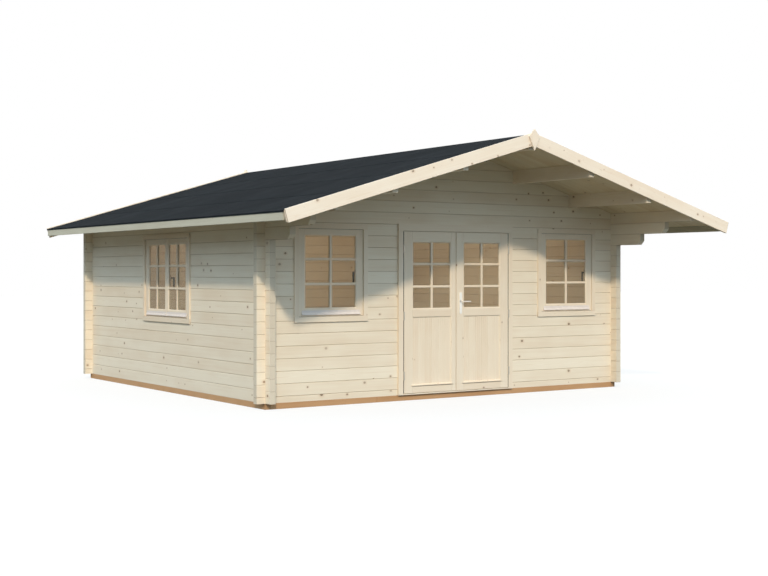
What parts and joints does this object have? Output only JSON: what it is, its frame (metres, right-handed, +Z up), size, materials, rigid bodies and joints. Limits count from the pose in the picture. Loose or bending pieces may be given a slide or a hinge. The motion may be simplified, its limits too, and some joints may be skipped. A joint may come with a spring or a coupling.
{
  "type": "log cabin",
  "caption": "Log cabin with a low pitched felt roof that reaches forward as a canopy, a glazed double door and small paned windows.",
  "frame": {"origin": "on the ground, at the middle of the whole outline", "axes": "+X to the cabin's right as seen from the front, +Y to its back, +Z up"},
  "size_m": [6.2206, 6.7366, 3.0369],
  "materials": {
    "log_timber": "planed softwood, untreated",
    "trim_timber": "planed softwood, untreated",
    "joinery_timber": "planed softwood, untreated",
    "boarding": "planed softwood boards",
    "treated_timber": "pressure treated softwood",
    "roofing_felt": "mineral surfaced bitumen felt",
    "window_glass": "clear",
    "hinge_steel": "zinc plated",
    "handle_metal": "satin"
  },
  "bodies": {
    "cabin": {"foundation": "treated_timber", "floor": "boarding", "front_wall_left": "log_timber", "front_wall_right": "log_timber", "front_wall_over_door": "log_timber", "front_gable": "log_timber", "rear_wall": "log_timber", "rear_gable": "log_timber", "left_wall": "log_timber", "right_wall": "log_timber", "ridge_beam": "log_timber", "left_purlins": "log_timber", "right_purlins": "log_timber", "left_roof_boards": "boarding", "left_roof_felt": "roofing_felt", "left_eave_fascia": "trim_timber", "right_roof_boards": "boarding", "right_roof_felt": "roofing_felt", "right_eave_fascia": "trim_timber", "front_bargeboards": "trim_timber", "rear_bargeboards": "trim_timber", "front_finial": "trim_timber", "rear_finial": "trim_timber", "door_frame": "joinery_timber", "door_casing": "joinery_timber", "door_hinge_pins": "hinge_steel", "front_left_window_frame": "joinery_timber", "front_left_window_sash": "joinery_timber", "front_left_window_glass": "window_glass", "front_right_window_frame": "joinery_timber", "front_right_window_sash": "joinery_timber", "front_right_window_glass": "window_glass", "side_window_frame": "joinery_timber", "side_window_sashes": "joinery_timber", "side_window_glass": "window_glass"},
    "left_door": {"left_door_members": "joinery_timber", "left_door_panel": "joinery_timber", "left_door_glass": "window_glass", "left_door_hinges": "hinge_steel"},
    "right_door": {"right_door_members": "joinery_timber", "right_door_panel": "joinery_timber", "right_door_glass": "window_glass", "right_door_hinges": "hinge_steel", "door_handle_plates": "handle_metal"},
    "door_handle": {"door_handle": "handle_metal"}
  },
  "joints": [
    {"name": "left_door_hinge", "type": "hinge", "parent": "cabin", "child": "left_door", "pos_m": [-0.7685, -1.978, 0.065], "axis": [0, 0, -1], "range_deg": [0, 105]},
    {"name": "right_door_hinge", "type": "hinge", "parent": "cabin", "child": "right_door", "pos_m": [0.7685, -1.978, 0.065], "axis": [0, 0, 1], "range_deg": [0, 105]},
    {"name": "door_handle_turn", "type": "hinge", "parent": "right_door", "child": "door_handle", "pos_m": [0.044, -1.949, 1.132], "axis": [0, 1, 0], "range_deg": [0, 40], "stiffness_Nm_per_rad": 3, "springref_deg": -14.32}
  ]
}
